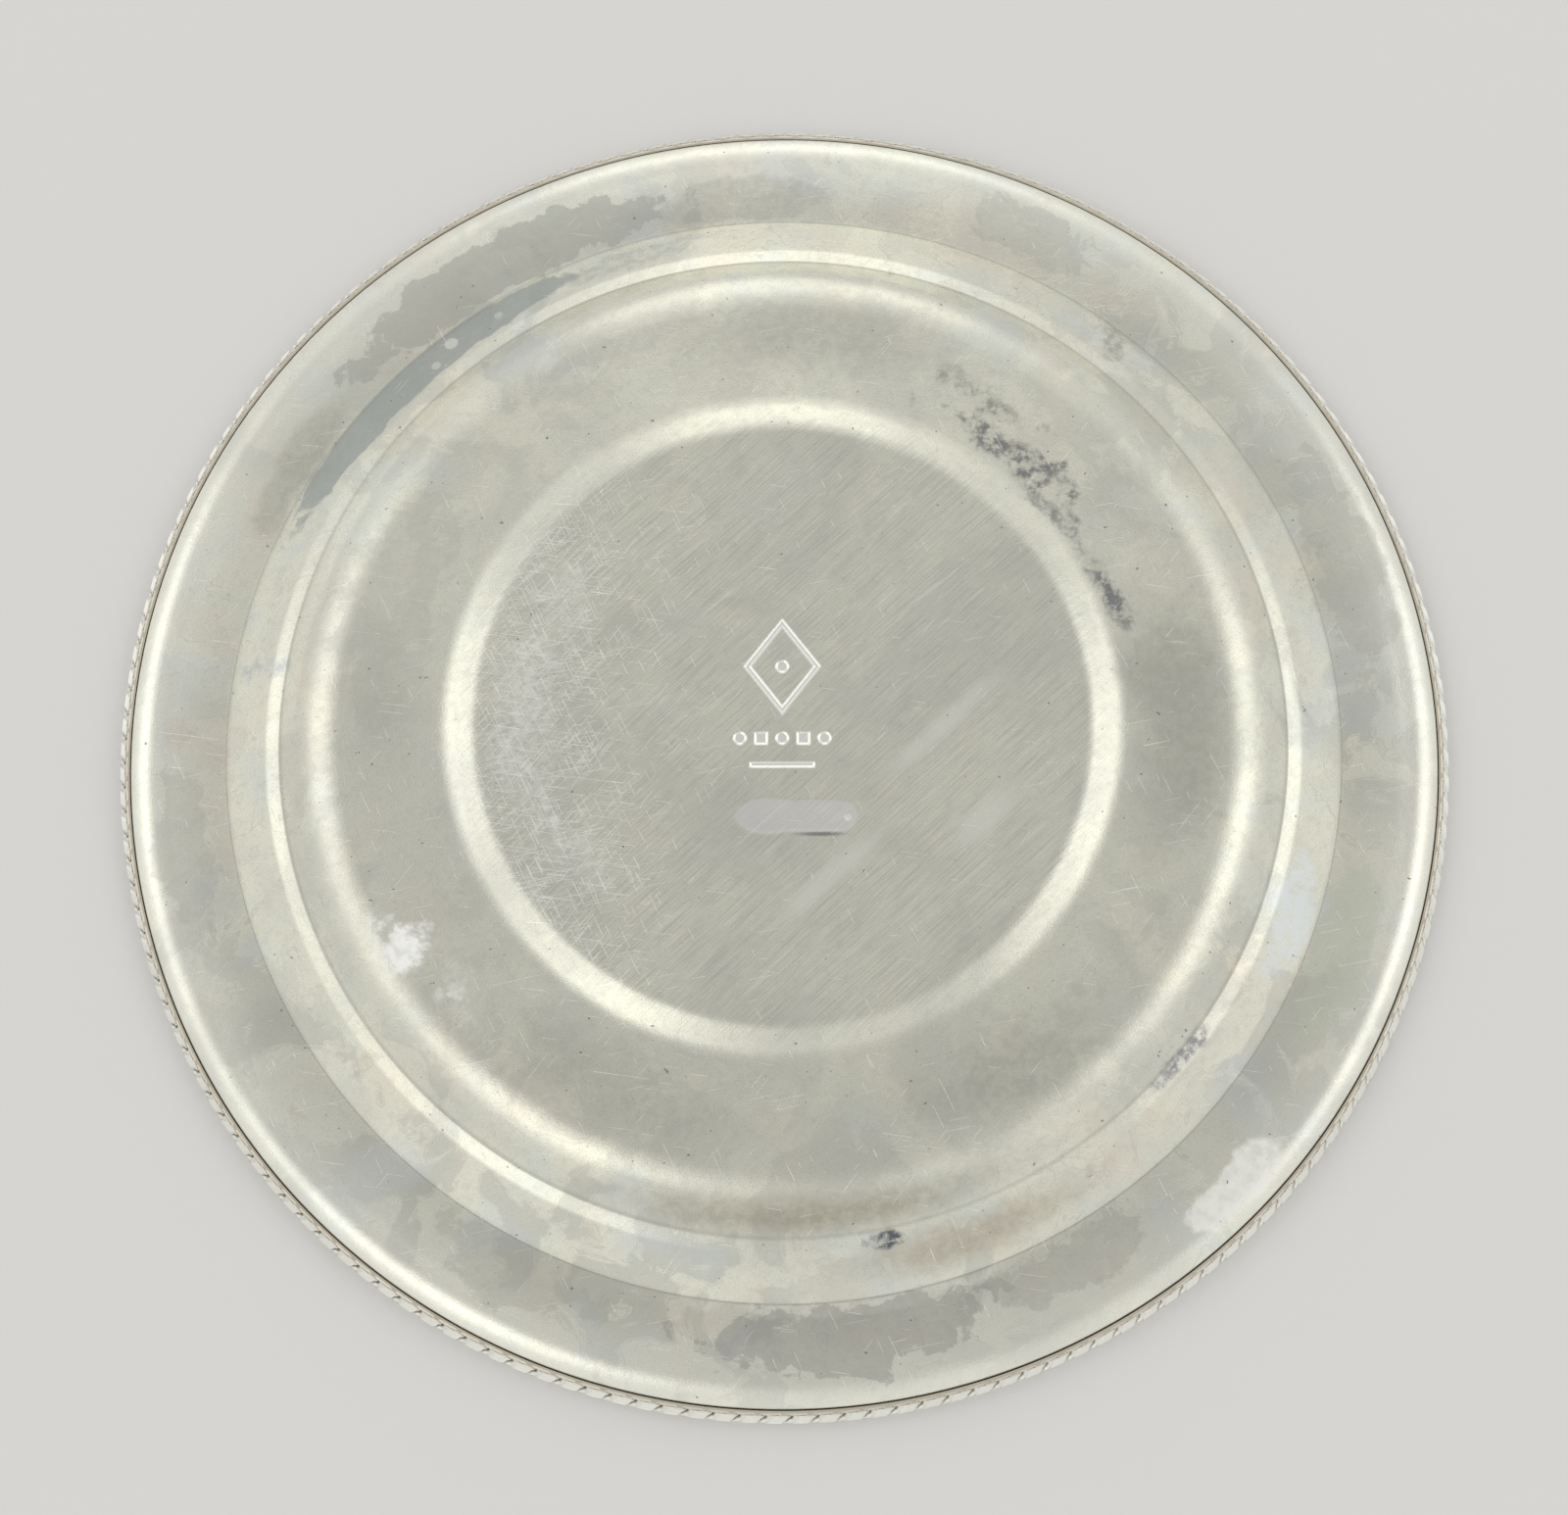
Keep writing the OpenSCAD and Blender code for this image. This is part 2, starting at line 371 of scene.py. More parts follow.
def build_border(material):
    """The border's section swept round the axis, with the leaves pressed into it."""
    outline, run = border_outline()
    tangent = np.roll(outline, -1, 0) - np.roll(outline, 1, 0)
    tangent /= np.linalg.norm(tangent, axis=1, keepdims=True)
    inward = np.stack([-tangent[:, 1], tangent[:, 0]], -1)
    total = run[-1]
    angle = full_turn(UNITS * COLUMNS_PER_UNIT)
    phase = np.mod(angle * UNITS / (2 * math.pi), 1)
    shaped = smoothstep(0.95, 1.35, run) * (1 - smoothstep(total - 1.1, total - 0.7, run))
    depth = leaf_inset(phase[None, :], run[:, None], total) * LEAF_H * shaped[:, None]
    radius = outline[:, :1] + inward[:, :1] * depth
    height = outline[:, 1:] + inward[:, 1:] * depth
    points = round_the_axis(radius, height, angle)
    faces = ring_faces(len(outline), len(angle), True)
    return new_object("rope_border_cast", points, faces, material, sharp_degrees=50)


# ---------------------------------------------------------------- the solder bead

BEAD_SEGMENTS = 1440


def build_bead(material):
    """A lumpy fillet on the curl of the dish, under the border."""
    inner, outer = EDGE_R - SHEET - BEAD_W, reach("solder_bead")
    face_side = rounded(moved(SHEET_LINE, SHEET + CLEARANCE))
    on_the_curl = [p for p in face_side if inner < p.x < outer - CLEARANCE]
    section = on_the_curl + [Vector((outer, EDGE_TOP)), Vector((inner, EDGE_TOP))]
    outline = np.array([p[:] for p in spaced(section + section[:1], 0.1)[:-1]])
    angle = full_turn(BEAD_SEGMENTS)
    lumps = 0.06 * np.sin(61 * angle + 2 * np.sin(7 * angle)) + 0.05 * np.sin(23 * angle + 1.1)
    share = smoothstep(0.5, 0, outline[:, :1] - inner)
    points = round_the_axis(outline[:, :1] + share * (0.12 + lumps), outline[:, 1:], angle)
    faces = ring_faces(len(outline), len(angle), True)
    return new_object("solder_bead_run", points, faces, material, sharp_degrees=50)


# ---------------------------------------------------------------- marks on the dish

# Stains under the dish, and painted dark reflections on it, with places and sizes in millimetres and
# degrees from +X:
# (angle, radius, along, across, softness, raggedness, share, colour, roughness added)
STAINS_AND_PAINTED_REFLECTIONS = (
    # the long dark crescent on the outer band, and the paler patches beside it on the flange
    (46, 61.3, 48, 5.2, 0.12, 0.35, 0.82, (0.40, 0.435, 0.42), 0.05),
    (72, 60.8, 22, 4.0, 0.50, 1.30, 0.50, (0.46, 0.47, 0.44), 0.04),
    (51, 61.5, 2.0, 2.0, 0.30, 0.20, 0.90, (0.76, 0.77, 0.70), 0.05),
    (48, 60.2, 1.3, 1.3, 0.30, 0.20, 0.80, (0.70, 0.71, 0.65), 0.05),
    (57, 61.0, 1.2, 1.2, 0.30, 0.20, 0.70, (0.70, 0.71, 0.65), 0.05),
    (31, 65.6, 24, 6.0, 0.50, 0.60, 0.46, (0.48, 0.475, 0.41), 0.03),
    (61, 67.2, 46, 7.4, 0.08, 0.90, 0.72, (0.54, 0.545, 0.485), 0.04),
    (84, 66.5, 24, 6.0, 0.30, 1.10, 0.40, (0.52, 0.52, 0.47), 0.03),
    # soot beside the foot band
    (157, 39.6, 13, 3.0, 0.60, 1.50, 0.80, (0.15, 0.16, 0.19), 0.10),
    (131, 40.8, 24, 5.4, 0.60, 1.60, 0.80, (0.17, 0.17, 0.19), 0.10),
    (122, 44.2, 14, 4.6, 0.90, 1.70, 0.70, (0.23, 0.22, 0.21), 0.08),
    (142, 39.0, 34, 2.2, 0.80, 1.40, 0.60, (0.25, 0.25, 0.26), 0.05),
    (172, 43.0, 14, 12, 0.80, 0.70, 0.50, (0.44, 0.43, 0.36), 0.05),
    # powdery white marks
    (-31, 48.8, 9.5, 7.5, 0.60, 1.40, 0.95, (1.00, 1.00, 0.98), 0.32),
    (-31, 48.8, 5.0, 4.4, 0.50, 0.80, 0.95, (1.00, 1.00, 0.98), 0.34),
    (-40, 46.8, 9.0, 5.5, 0.90, 1.50, 0.66, (0.96, 0.95, 0.91), 0.22),
    (-135, 71.0, 18, 5.6, 0.35, 0.90, 0.90, (0.97, 0.97, 0.92), 0.26),
    (-160, 60.6, 19, 5.4, 0.50, 1.10, 0.62, (0.84, 0.90, 0.95), 0.08),
    (-96, 63.9, 44, 2.4, 0.50, 1.30, 0.60, (0.92, 0.91, 0.82), 0.10),
    # grey, green and brown patches on the side nearest the viewer; the two soft brown ones are painted
    # dark reflections
    (-96, 67.4, 34, 8.0, 0.10, 1.20, 0.52, (0.38, 0.38, 0.35), 0.08),
    (-118, 66.8, 20, 6.5, 0.15, 1.20, 0.42, (0.46, 0.45, 0.40), 0.06),
    (-64, 66.5, 22, 8.0, 0.20, 1.20, 0.42, (0.48, 0.48, 0.42), 0.06),
    (-158, 67.0, 21, 7.0, 0.10, 0.70, 0.50, (0.68, 0.73, 0.58), 0.02),
    # painted dark-brown reflections on the outer band and the shoulder
    (-110, 59.8, 44, 6.5, 0.90, 0.25, 0.78, (0.50, 0.45, 0.35), 0.02),
    (-94, 54.4, 62, 6.5, 0.95, 0.20, 0.85, (0.42, 0.395, 0.31), 0.02),
    (-101, 57.6, 5.5, 2.0, 0.70, 1.60, 0.95, (0.12, 0.13, 0.16), 0.10),
    (-140, 57.2, 11, 2.2, 0.70, 1.50, 0.85, (0.25, 0.25, 0.29), 0.10),
    # broad darker zones of the shallow ring, painted dark reflections
    (180, 44.5, 44, 16, 0.80, 0.30, 0.85, (0.52, 0.515, 0.445), 0.02),
    (94, 46.0, 44, 15, 0.85, 0.30, 0.75, (0.56, 0.555, 0.485), 0.02),
    (4, 45.0, 36, 14, 0.95, 0.30, 0.45, (0.54, 0.535, 0.47), 0.02),
    (-66, 44.5, 44, 14, 0.90, 0.40, 0.45, (0.50, 0.49, 0.42), 0.02),
    (-122, 46.0, 36, 14, 0.90, 0.40, 0.60, (0.50, 0.49, 0.42), 0.02),
    (20, 46.5, 24, 11, 0.10, 1.00, 0.30, (0.54, 0.535, 0.48), 0.04),
    # smaller marks round the dish
    (8, 59.3, 3.5, 8.0, 0.80, 1.30, 0.50, (0.46, 0.50, 0.58), 0.03),
    (129, 60.8, 4.5, 8.0, 0.50, 1.30, 0.62, (0.40, 0.39, 0.34), 0.03),
    (116, 68.5, 16, 7.0, 0.12, 1.10, 0.38, (0.54, 0.54, 0.48), 0.03),
    (-10, 68.5, 22, 7.0, 0.15, 1.10, 0.38, (0.54, 0.54, 0.48), 0.03),
    (160, 68.5, 30, 8.0, 0.12, 1.10, 0.40, (0.55, 0.54, 0.48), 0.03),
    (1, 69.2, 5.5, 3.6, 0.80, 0.80, 0.36, (0.72, 0.54, 0.45), 0.02),
    # the scuffed pale side of the foot
    (4, 28.6, 40, 9.0, 0.80, 1.10, 0.50, (0.97, 0.965, 0.93), 0.10),
    (-34, 27.5, 12, 7.0, 0.90, 1.40, 0.46, (0.95, 0.95, 0.89), 0.08),
)
# Painted shade along the creases and along the seam at the edge: (radius, half width, amount)
CREASE_SHADE = ((CREASE_R - 0.15, 0.4, 0.25), (FLANGE_R + 0.05, 0.22, 0.35), (EDGE_R - 0.05, 0.12, 0.5))
# Scratches: (direction in degrees, width, length, amount)
SCRATCHES = ((8, 0.13, 6.5, 1.0), (-52, 0.12, 5.5, 0.8), (64, 0.13, 5.0, 0.9), (-12, 0.14, 8.0, 0.7))
# The direction of the brushing on the foot, from +X
BRUSHED_DEGREES = 137
# Straight pale wipes across the foot, in the same direction: (x, y, length, width)
WIPES = ((-17.5, -1.0, 24, 3.4), (-5.0, -18.0, 24, 3.8), (-22.5, -11.0, 15, 5.0))
# A painted shadow along the lower edge of the drop: (x, y, length, width)
DROP_SHADE = (-4.2, -13.05, 7.5, 0.75)


# ---------------------------------------------------------------- shader nodes

def rgba(r, g, b):
    return (r, g, b, 1.0)


def new_node(tree, kind, **settings):
    made = tree.nodes.new(kind)
    for key, value in settings.items():
        setattr(made, key, value)
    return made


class Shade:
    """Short names for the shader nodes of one material.

    The sockets place, x, y, z and radius tell where the surface is, in millimetres from the
    salver's origin. A value may be a number or a socket.
    """

    def __init__(self, name):
        self.material = bpy.data.materials.new(name)
        self.material.use_nodes = True
        self.tree = self.material.node_tree
        coordinates = self.node("ShaderNodeTexCoord")
        self.place = self.mapped(coordinates.outputs["Object"], scale=(1 / MM, 1 / MM, 1 / MM))
        self.x, self.y, self.z = self.parts(self.place)
        self.radius = self.length(self.x, self.y)

    def node(self, kind, **settings):
        return new_node(self.tree, kind, **settings)

    def put(self, socket, value):
        if isinstance(value, bpy.types.NodeSocket):
            self.tree.links.new(value, socket)
        else:
            socket.default_value = value

    def mapped(self, vector, scale=(1, 1, 1), turn=0.0, shift=(0, 0, 0)):
        """The vector scaled, then turned about Z by an angle in radians, then shifted."""
        made = self.node("ShaderNodeMapping")
        self.put(made.inputs["Vector"], vector)
        made.inputs["Scale"].default_value = scale
        made.inputs["Rotation"].default_value = (0, 0, turn)
        made.inputs["Location"].default_value = shift
        return made.outputs["Vector"]

    def parts(self, vector):
        made = self.node("ShaderNodeSeparateXYZ")
        self.put(made.inputs[0], vector)
        return made.outputs[0], made.outputs[1], made.outputs[2]

    def joined(self, x, y, z):
        made = self.node("ShaderNodeCombineXYZ")
        for socket, value in zip(made.inputs, (x, y, z)):
            self.put(socket, value)
        return made.outputs[0]

    def math(self, operation, a, b=0.0, c=0.0):
        made = self.node("ShaderNodeMath", operation=operation)
        for socket, value in zip(made.inputs, (a, b, c)):
            self.put(socket, value)
        return made.outputs[0]

    def product(self, first, *others):
        result = first
        for other in others:
            result = self.math("MULTIPLY", result, other)
        return result

    def linear(self, value, factor, offset):
        """The value times a factor, plus an offset."""
        return self.math("MULTIPLY_ADD", value, factor, offset)

    def inverse(self, value):
        """0 where the value is 1, and 1 where it is 0."""
        return self.math("SUBTRACT", 1.0, value)

    def length(self, x, y):
        return self.math("SQRT", self.math("MULTIPLY_ADD", x, x, self.math("MULTIPLY", y, y)))

    def step(self, value, low, high):
        """0 at low and 1 at high, whichever is the larger, with a smooth change between."""
        made = self.node("ShaderNodeMapRange", interpolation_type="SMOOTHSTEP")
        self.put(made.inputs["Value"], value)
        made.inputs["From Min"].default_value = low
        made.inputs["From Max"].default_value = high
        return made.outputs[0]

    def band(self, value, centre, half_width):
        """1 at the centre, falling smoothly to 0 at half_width from it."""
        away = self.math("ABSOLUTE", self.math("SUBTRACT", value, centre))
        return self.inverse(self.step(away, 0.0, half_width))

    def noise(self, size, vector=None, detail=3.0, rough=0.5, warp=0.0):
        """Cloudy noise whose features are about size millimetres across."""
        made = self.node("ShaderNodeTexNoise")
        self.put(made.inputs["Vector"], self.place if vector is None else vector)
        made.inputs["Scale"].default_value = 1 / size
        made.inputs["Detail"].default_value = detail
        made.inputs["Roughness"].default_value = rough
        made.inputs["Distortion"].default_value = warp
        return made.outputs["Fac"]

    def streaks(self, place, degrees, width, length, detail):
        """Long fine noise along one direction in the plane of the dish, in degrees from +X."""
        turned = self.mapped(place, turn=math.radians(-degrees))
        stretched = self.mapped(turned, scale=(1 / length, 1 / width, 1 / length))
        return self.noise(1.0, stretched, detail, 0.6)

    def mix(self, share, a, b):
        """Colour a, with a share of colour b from 0 to 1."""
        made = self.node("ShaderNodeMix", data_type="RGBA")
        self.put(made.inputs["Factor"], share)
        self.put(made.inputs[6], a)
        self.put(made.inputs[7], b)
        return made.outputs[2]

    def bump(self, height, distance, under=None):
        """The normal of a relief, the distance high, on top of the normal given."""
        made = self.node("ShaderNodeBump")
        made.inputs["Distance"].default_value = distance * MM
        self.put(made.inputs["Height"], height)
        if under is not None:
            self.put(made.inputs["Normal"], under)
        return made.outputs["Normal"]

    def as_metal(self, colour, rough, normal):
        """The finished material."""
        put = self.tree.nodes["Principled BSDF"].inputs
        put["Metallic"].default_value = 1.0
        self.put(put["Base Color"], colour)
        self.put(put["Roughness"], rough)
        self.put(put["Normal"], normal)
        return self.material


class DishShade(Shade):
    """A Shade that also knows the zones of the dish and the noises that several layers share."""

    def __init__(self, name):
        super().__init__(name)
        facing = self.parts(self.node("ShaderNodeNewGeometry").outputs["True Normal"])[2]
        self.underneath = self.inverse(self.step(facing, -0.15, 0.15))
        self.on_foot = self.inverse(self.step(self.radius, FOOT_R - 0.5, FOOT_R + 3))
        self.on_flange = self.step(self.radius, FLANGE_R - 0.06, FLANGE_R + 0.06)
        self.within_flange = self.inverse(self.on_flange)
        self.grain = self.noise(0.16, detail=2.0, rough=0.7)
        self.mottle = self.noise(1.1, detail=4.0, rough=0.65)
        self.ragged = self.noise(4.2, detail=6.0, rough=0.60, warp=0.35)
        self.brushing = self.streaks(self.place, BRUSHED_DEGREES, 0.13, 7.0, 3.0)

    def patch_mask(self, angle, radius, along, across, soft, ragged):
        """A ragged patch on the underside that follows the dish's curve, 1 inside and 0 outside.

        It stops at the step between the outer band and the flange. The angle is in degrees
        from +X; along and across are its size.
        """
        local = self.mapped(self.place, turn=math.radians(-angle))
        x, y, _ = self.parts(local)
        run = self.product(self.math("ARCTAN2", y, x), 2 * radius / along)
        away = self.product(self.math("SUBTRACT", self.radius, radius), 2 / across)
        wobble = self.math("SUBTRACT", self.ragged, 0.5)
        edge = self.linear(wobble, ragged * 2, self.length(run, away))
        inside = self.inverse(self.step(edge, 1.0 - soft, 1.0))
        own_side = self.on_flange if radius > FLANGE_R else self.within_flange
        return self.product(inside, self.underneath, own_side)


# ---------------------------------------------------------------- the dish's layers

def cloudy_colour(s):
    """Grey-white metal under clouds and sharp-edged islands of tarnish, faintly warm or cool."""
    clouds = s.noise(15, detail=4.0, rough=0.55, warp=0.9)
    islands = s.noise(7.5, s.mapped(s.place, turn=0.3, shift=(11, 3, 0)), 3.5, 0.52, 0.6)
    strong = s.step(s.noise(24, s.mapped(s.place, shift=(5, 40, 0)), 2.0), 0.42, 0.62)
    tint = s.noise(9.0, s.mapped(s.place, turn=0.4, shift=(31, 7, 0)), 2.0, 0.5, 0.5)
    off_foot = s.step(s.radius, FOOT_R + 2, FLANGE_R)
    often = s.linear(s.product(strong, off_foot), 0.40, 0.12)
    shore = s.product(s.band(islands, 0.516, 0.010), s.linear(off_foot, 0.30, 0.04))
    tinted = s.linear(off_foot, 0.16, 0.07)
    colour = s.mix(s.step(clouds, 0.40, 0.64), rgba(0.875, 0.87, 0.735), rgba(0.79, 0.785, 0.680))
    for share, over in (
            (s.product(s.step(islands, 0.52, 0.545), often), (0.55, 0.555, 0.50)),
            (shore, (0.52, 0.49, 0.41)),
            (s.product(s.step(s.mottle, 0.45, 0.75), 0.32), (0.58, 0.57, 0.51)),
            (s.product(s.step(s.grain, 0.46, 0.78), 0.50), (0.50, 0.49, 0.44)),
            (s.product(s.step(tint, 0.52, 0.68), tinted), (0.92, 0.80, 0.64)),
            (s.product(s.step(tint, 0.48, 0.32), tinted), (0.66, 0.74, 0.80))):
        colour = s.mix(share, colour, rgba(*over))
    return colour


def straight_mark(s, x, y, length, width, degrees):
    """A straight soft mark on the foot, 1 in its middle and 0 at its rim."""
    centred = s.mapped(s.place, shift=(-x, -y, 0))
    along, across, _ = s.parts(s.mapped(centred, turn=math.radians(-degrees)))
    from_middle = s.length(s.product(along, 2 / length), s.product(across, 2 / width))
    return s.inverse(s.step(from_middle, 0.2, 1.0))


def brushed(s, colour):
    """The foot's fine diagonal brushing, darker, and its pale wipes."""
    rubbed = s.product(s.step(s.brushing, 0.42, 0.64), s.linear(s.on_foot, 0.42, 0.08))
    colour = s.mix(rubbed, colour, rgba(0.54, 0.54, 0.49))
    wiping = s.streaks(s.place, BRUSHED_DEGREES + 2, 1.1, 16.0, 3.0)
    wiped = s.product(s.step(wiping, 0.60, 0.72), s.on_foot, 0.55)
    single = 0.0
    for x, y, length, width in WIPES:
        single = s.math("MAXIMUM", single, straight_mark(s, x, y, length, width, BRUSHED_DEGREES))
    streaky = s.product(single, s.math("ADD", s.brushing, 0.05))
    return s.mix(s.math("MAXIMUM", wiped, streaky), colour, rgba(0.95, 0.945, 0.86))


def worn_at_edge(s, colour):
    """Paler metal towards the edge, where the flange is rubbed most."""
    worn = s.product(s.step(s.radius, FLANGE_R + 1, EDGE_R - 2), 0.375)
    return s.mix(worn, colour, rgba(1.0, 1.0, 0.91))


def stains_and_reflections(s, colour, rough):
    """Every stain and painted reflection of the table, each a little rougher than the metal round it."""
    spots = s.step(s.mottle, 0.38, 0.60)
    for angle, radius, along, across, soft, ragged, share, patch_colour, rougher in STAINS_AND_PAINTED_REFLECTIONS:
        # The softer and the more ragged a patch is, the more it is broken up into small spots
        patchiness = min(0.85, soft * ragged)
        broken = s.linear(spots, patchiness, 1 - patchiness)
        mask = s.product(s.patch_mask(angle, radius, along, across, soft, ragged), broken)
        colour = s.mix(s.product(mask, share), colour, rgba(*patch_colour))
        rough = s.linear(mask, rougher, rough)
    return colour, rough


def crease_shade_and_specks(s, colour):
    """Painted shade along the creases where one step meets the next and along the seam, and dark specks
    of dirt here and there.
    """
    # Painted shade: a dark line along each crease and the seam
    for at, half_width, amount in CREASE_SHADE:
        line = s.product(s.band(s.radius, at, half_width), amount)
        colour = s.mix(line, colour, rgba(0.30, 0.28, 0.24))
    specks = s.noise(0.7, s.mapped(s.place, shift=(71, 5, 0)), 1.0)
    return s.mix(s.product(s.step(specks, 0.77, 0.80), 0.7), colour, rgba(0.20, 0.19, 0.18))


def scratch_mask(s):
    """Sparse fine scratches of the underside, thickest on the +X side of the foot."""
    thick = s.step(s.math("ADD", s.x, s.product(s.noise(7.0), 16.0)), 12.0, 34.0)
    thick = s.product(thick, s.inverse(s.step(s.radius, FOOT_R - 1, FOOT_R + 4)))
    floor = s.linear(thick, -0.11, 0.76)
    lines = 0.0
    for k, (degrees, width, length, amount) in enumerate(SCRATCHES):
        shifted = s.mapped(s.place, shift=(17.0 * k, 9.0 * k, 0))
        streak = s.streaks(shifted, degrees, width, length, 1.0)
        line = s.step(s.math("SUBTRACT", streak, floor), 0.0, 0.03)
        lines = s.math("MAXIMUM", lines, s.product(line, amount))
    return s.product(lines, s.underneath)


def marked(s, colour, scratches):
    """Bright metal in the scratches and in the stamped mark, a paler skin in the shallow drop, and a
    painted shadow under its lower edge.
    """
    near_centre = s.inverse(s.step(s.radius, DROP_REACH, DROP_REACH + 1))
    in_drop = s.product(s.step(s.z, 0.008, 0.045), near_centre, s.underneath, 0.42)
    in_mark = s.product(s.step(s.z, 0.05, 0.10), near_centre, s.underneath, 0.75)
    # Painted shadow along the lower edge of the drop
    painted_drop_shadow = s.product(straight_mark(s, *DROP_SHADE, 0), s.underneath, 0.8)
    colour = s.mix(scratches, colour, rgba(1.0, 0.99, 0.93))
    colour = s.mix(in_drop, colour, rgba(0.94, 0.93, 0.96))
    colour = s.mix(in_mark, colour, rgba(1.0, 0.995, 0.93))
    return s.mix(painted_drop_shadow, colour, rgba(0.24, 0.24, 0.25))


def skin(s, scratches):
    """Sandy grain, the foot's brushing, fine turning rings, scratches and a faint unevenness."""
    turning = s.noise(1.0, s.joined(s.product(s.radius, 4.5), s.math("ARCTAN2", s.y, s.x), 0.0), 3.0)
    normal = s.bump(s.grain, 0.014)
    normal = s.bump(s.product(s.brushing, s.on_foot), 0.016, normal)
    normal = s.bump(turning, 0.004, normal)
    normal = s.bump(scratches, 0.010, normal)
    return s.bump(s.mottle, 0.02, normal)


# ---------------------------------------------------------------- materials

def dish_material():
    s = DishShade("spun_tarnished_metal")
    scratches = scratch_mask(s)
    colour = worn_at_edge(s, brushed(s, cloudy_colour(s)))
    colour, rough = stains_and_reflections(s, colour, s.linear(s.mottle, 0.14, 0.19))
    colour = marked(s, crease_shade_and_specks(s, colour), scratches)
    return s.as_metal(colour, rough, skin(s, scratches))


def border_material():
    """Bright crests, painted shade darkening the pits between the leaves, and a smooth strip beside the
    seam, tan with dirt and painted shade.
    """
    s = Shade("cast_border_metal")
    grain = s.noise(0.18, detail=3.0, rough=0.7)
    cloud = s.noise(6.0, detail=4.0, rough=0.6)
    # Painted shade: the pits between the leaves are darkened where ambient occlusion finds them
    pits = s.node("ShaderNodeAmbientOcclusion", samples=8)
    pits.inputs["Distance"].default_value = 0.6 * MM
    painted_pit_shade = s.inverse(s.step(pits.outputs["AO"], 0.30, 0.85))
    # The smooth strip under the border beside the seam: tan dirt with painted shade
    below = s.inverse(s.step(s.z, BASE_Z - LAP_H - 0.02, BASE_Z - LAP_H + 0.25))
    near_seam = s.inverse(s.step(s.radius, EDGE_R + 0.5, EDGE_R + 0.95))
    dirt_and_shade_strip = s.product(below, near_seam, s.linear(cloud, 0.5, 0.55))
    dulled = s.product(s.step(cloud, 0.4, 0.7), 0.4)
    colour = s.mix(dulled, rgba(0.98, 0.97, 0.89), rgba(0.88, 0.865, 0.78))
    colour = s.mix(dirt_and_shade_strip, colour, rgba(0.64, 0.58, 0.46))
    colour = s.mix(s.product(painted_pit_shade, 0.92), colour, rgba(0.20, 0.17, 0.12))
    colour = s.mix(s.product(s.step(grain, 0.5, 0.8), 0.3), colour, rgba(0.50, 0.47, 0.40))
    return s.as_metal(colour, s.linear(grain, 0.2, 0.22), s.bump(grain, 0.02))


def solder_material():
    s = Shade("dull_solder")
    grain = s.noise(0.3, detail=4.0, rough=0.7)
    colour = s.mix(s.step(grain, 0.3, 0.7), rgba(0.40, 0.39, 0.37), rgba(0.24, 0.23, 0.21))
    return s.as_metal(colour, s.linear(grain, 0.3, 0.4), s.bump(grain, 0.05))


# ---------------------------------------------------------------- studio

FLOOR_HALF = 3.0      # half the side of each square floor, in metres
FLOOR_GAP = 0.0001    # between the salver and the floor, in metres


def one_sided_floor(name, height, faces_up):
    """A pale floor seen only from its front, which casts no shade and shows in no reflection."""
    material = bpy.data.materials.new(name + "_paper")
    material.use_nodes = True
    tree = material.node_tree
    paper = tree.nodes["Principled BSDF"]
    paper.inputs["Base Color"].default_value = rgba(0.80, 0.79, 0.77)
    paper.inputs["Roughness"].default_value = 0.9
    side = new_node(tree, "ShaderNodeNewGeometry")
    clear = new_node(tree, "ShaderNodeBsdfTransparent")
    choose = new_node(tree, "ShaderNodeMixShader")
    tree.links.new(side.outputs["Backfacing"], choose.inputs[0])
    tree.links.new(paper.outputs[0], choose.inputs[1])
    tree.links.new(clear.outputs[0], choose.inputs[2])
    tree.links.new(choose.outputs[0], tree.nodes["Material Output"].inputs["Surface"])
    mesh = bpy.data.meshes.new(name)
    corners = [(x * FLOOR_HALF, y * FLOOR_HALF, height) for x, y in ((-1, -1), (1, -1), (1, 1), (-1, 1))]
    mesh.from_pydata(corners, [], [(0, 1, 2, 3) if faces_up else (3, 2, 1, 0)])
    mesh.materials.append(material)
    floor = bpy.data.objects.new(name, mesh)
    bpy.context.scene.collection.objects.link(floor)
    floor.visible_diffuse = False
    floor.visible_glossy = False
    floor.visible_transmission = False
    floor.visible_shadow = False
    floor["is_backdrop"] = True


# Soft patches of light in the room below the salver: (azimuth, tilt, radius, amount, colour).
# Angles are in degrees, and the tilt is from straight below. A negative amount is a darker part.
UNDER_PATCHES = (
    (162, 50, 15, 0.58, (1.00, 1.00, 0.98)),
    (18, 50, 15, 0.62, (1.00, 0.99, 0.97)),
    (-46, 39, 14, 0.72, (1.00, 0.99, 0.95)),
    (-12, 50, 10, 0.22, (1.00, 0.99, 0.94)),
    (-168, 44, 12, 0.52, (1.00, 0.98, 0.95)),
    (89, 70, 16, 0.50, (1.00, 0.99, 0.94)),
    (89, 40, 9, 0.20, (1.00, 0.99, 0.95)),
    (-95, 34, 10, -0.12, (1.00, 1.00, 1.00)),
    (-128, 40, 12, -0.35, (1.00, 1.00, 1.00)),
    (-105, 95, 30, -0.35, (1.00, 1.00, 1.00)),
)
# The same above the salver, with the tilt from straight above
OVER_PATCHES = (
    (-70, 35, 18, 0.42, (1.00, 0.99, 0.96)),
    (35, 60, 20, 0.30, (1.00, 0.99, 0.97)),
    (150, 45, 18, 0.36, (0.98, 0.99, 1.00)),
)
# A patch fades between these shares of its radius
PATCH_CORE, PATCH_RIM = 0.3, 1.5
# Brightness of the room by height, from 0 straight below to 1 straight above
ROOM = ((0.0, 0.55), (0.033, 0.56), (0.10, 0.70), (0.20, 0.77), (0.38, 0.79), (0.50, 0.70), (0.60, 0.74),
        (0.72, 0.72), (0.85, 0.56), (1.0, 0.44))


